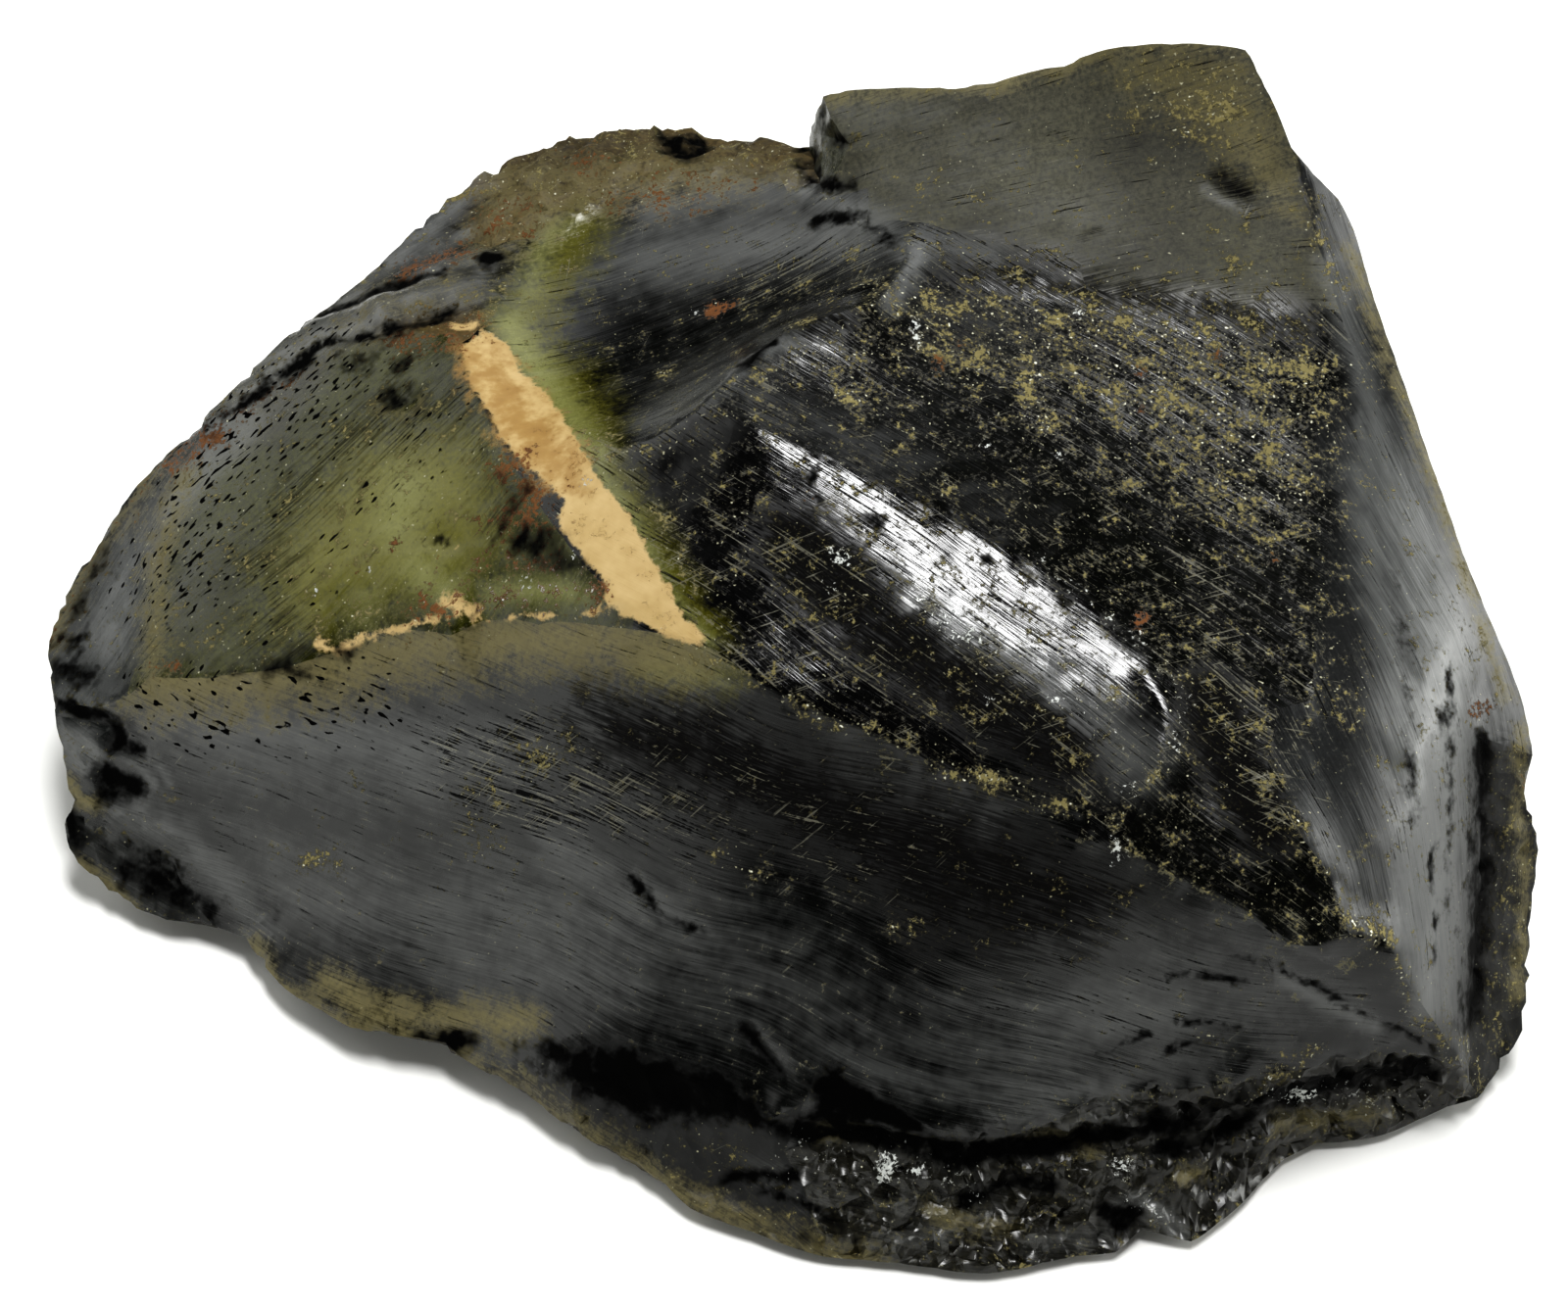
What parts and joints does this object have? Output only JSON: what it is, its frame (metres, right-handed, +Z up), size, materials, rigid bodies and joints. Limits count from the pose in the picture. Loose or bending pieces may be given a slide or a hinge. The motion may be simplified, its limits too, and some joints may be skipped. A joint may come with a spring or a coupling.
{
  "type": "slag glass chunk",
  "caption": "Broken lump of black slag glass with conchoidal faces, an olive altered face, a cream devitrified seam and a rough crust, lying on a flat broken base",
  "frame": {"origin": "middle of the bounding box, on the ground plane that the base rests on", "axes": "+Z up from the flat base, +X to the right along the longest side, -Y towards the low broken front face"},
  "size_m": [0.1032, 0.0868, 0.0469],
  "materials": {
    "slag_glass": "glossy broken glass, opaque, with olive and cream altered rind and brown crust"
  },
  "bodies": {
    "root": {"slag_glass_chunk": "slag_glass"}
  },
  "joints": []
}
